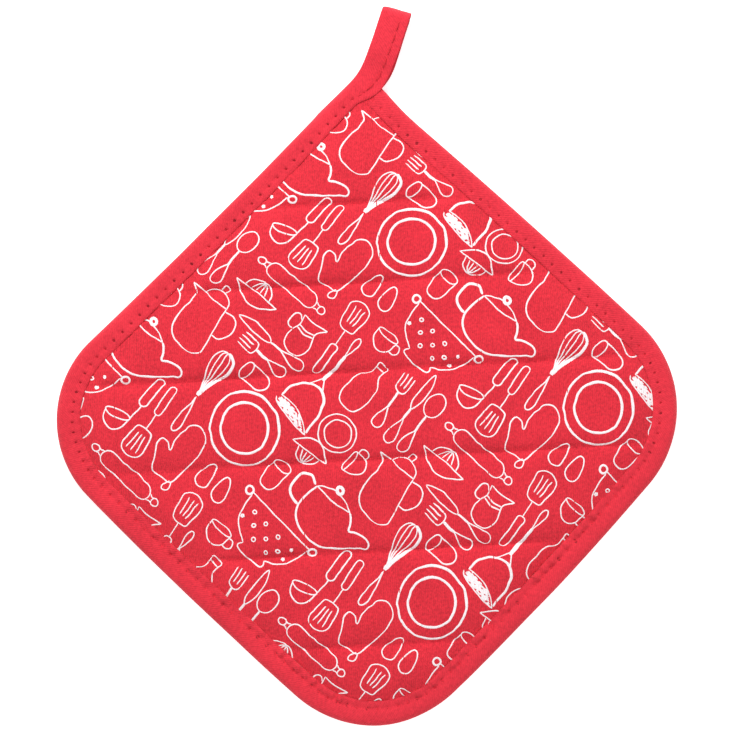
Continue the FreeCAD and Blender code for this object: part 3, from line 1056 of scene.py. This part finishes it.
def print_strokes():
    """Every stroke of the print over the panel, in the pad's own coordinates."""
    strokes = []
    for drawing, place, heading in DRAWINGS:
        for points, closed, width in drawing:
            line = spaced(turned(points, math.radians(heading)) + place, 0.6, closed)
            wobble = np.stack([noise(*line.T, 2.6, 91), noise(*line.T, 2.6, 92)], 1) * 0.14
            swell = 1 + 0.13 * noise(*line.T, 4.2, 93)
            for m in range(-3, 4):
                for n in range(-3, 4):
                    shift = m * np.array(REPEATS[0]) + n * np.array(REPEATS[1])
                    copy = settled(turned(line + wobble + shift, PRINT_TURN))
                    if np.abs(copy).sum(1).min() < PRINT_REACH:
                        strokes.append((copy, closed, width * swell))
    return strokes


def ribbon(line, closed, width):
    """A stroke's flat places, row by row across it, and how far out each row's stations lie from -1 to 1."""
    count = len(line)
    way = np.roll(line, -1, 0) - np.roll(line, 1, 0) if closed else np.gradient(line, axis=0)
    way /= np.linalg.norm(way, axis=1)[:, None] + 1e-9
    side = np.stack([-way[:, 1], way[:, 0]], 1)
    half = width / 2
    if not closed:
        tip = np.minimum(np.arange(count), np.arange(count)[::-1]) * np.linalg.norm(line[1] - line[0])
        half = half * np.sqrt(1 - np.clip(1 - tip / half, 0, 0.92) ** 2)
    stations = np.linspace(-1, 1, 2 + 2 * max(1, math.ceil(width.max() / 1.3)))
    return line[:, None] + side[:, None] * (half[:, None] * stations)[..., None], stations


def print_mesh():
    """White ink as thin ribbons on the cloth, up to the binding, at slightly different heights."""
    points, faces = [], []
    total = 0
    for number, (line, closed, width) in enumerate(print_strokes()):
        flat, stations = ribbon(line, closed, width)
        x, y = flat[..., 0], flat[..., 1]
        inside = inset_of(x, y, FINE_LINE, FINE_NORMAL) / widening(y) > PRINT_FROM
        if not inside.any():
            continue
        rise = np.where(np.abs(stations) > 0.99, -0.05, 0.07 + 0.005 * (number % INK_LAYERS))
        place, out = front_surface.at(x.ravel(), y.ravel())
        solid = place + out * np.tile(rise, len(line))[:, None]
        quads = strip_faces(len(line), len(stations), closed_rows=closed)
        quads = quads[inside.ravel()[quads].all(1)]
        points.append(np.column_stack([solid, flat.reshape(-1, 2)]))
        faces.append(quads + total)
        total += len(solid)
    points, faces = np.vstack(points), np.vstack(faces)
    used, numbers = np.unique(faces, return_inverse=True)
    quads = numbers.reshape(faces.shape)[:, ::-1]
    return make_mesh("print", points[used, :3], quads, points[used, 3:] * MM, INK)


artwork = across_fold(print_mesh())


# ---------------------------------------------------------------- studio

FLOOR_HALF = 2500.0
FLOOR_Z = -0.02
ROWS_RISE = 3.4


def floor_material():
    mat, _, shader = material("studio_floor")
    shader.inputs["Base Color"].default_value = (0.9, 0.9, 0.9, 1)
    shader.inputs["Roughness"].default_value = 0.9
    shader.inputs["Emission Color"].default_value = (1, 1, 1, 1)
    shader.inputs["Emission Strength"].default_value = 0.6
    return mat


def floor():
    corners = [(x * FLOOR_HALF, y * FLOOR_HALF, FLOOR_Z) for x, y in ((-1, -1), (1, -1), (1, 1), (-1, 1))]
    make_mesh("floor", corners, [(0, 1, 2, 3)], None, floor_material())


def area_light(name, place, size, power):
    """A square light that faces the pad's middle."""
    data = bpy.data.lights.new(name, "AREA")
    data.size = size
    data.energy = power
    obj = bpy.data.objects.new(name, data)
    obj.location = place
    obj.rotation_euler = (-Vector(place)).to_track_quat("-Z", "Y").to_euler()
    bpy.context.scene.collection.objects.link(obj)


def camera():
    """Straight down with a long lens; the quilting's rows rise slightly to the right in the picture."""
    lens, sensor, across = 100.0, 36.0, 0.2913
    data = bpy.data.cameras.new("camera")
    data.lens = lens
    data.sensor_width = sensor
    data.clip_start = 0.01
    obj = bpy.data.objects.new("camera", data)
    obj.location = (0.0006, 0.0190, across * lens / sensor + MID_Z * MM)
    obj.rotation_euler = (0, 0, -math.radians(ROWS_RISE))
    bpy.context.scene.collection.objects.link(obj)
    bpy.context.scene.camera = obj


def world(strength):
    """Even white light from all round, shown in plain display colours with no film curve."""
    sky = bpy.data.worlds.new("studio")
    sky.use_nodes = True
    sky.node_tree.nodes["Background"].inputs["Color"].default_value = (1, 1, 1, 1)
    sky.node_tree.nodes["Background"].inputs["Strength"].default_value = strength
    bpy.context.scene.world = sky
    bpy.context.scene.view_settings.view_transform = "Standard"


floor()
world(0.40)
area_light("key", (-0.12, 0.72, 0.62), size=0.35, power=7.6)
area_light("fill", (0.15, -0.45, 0.8), size=0.8, power=3.0)
camera()
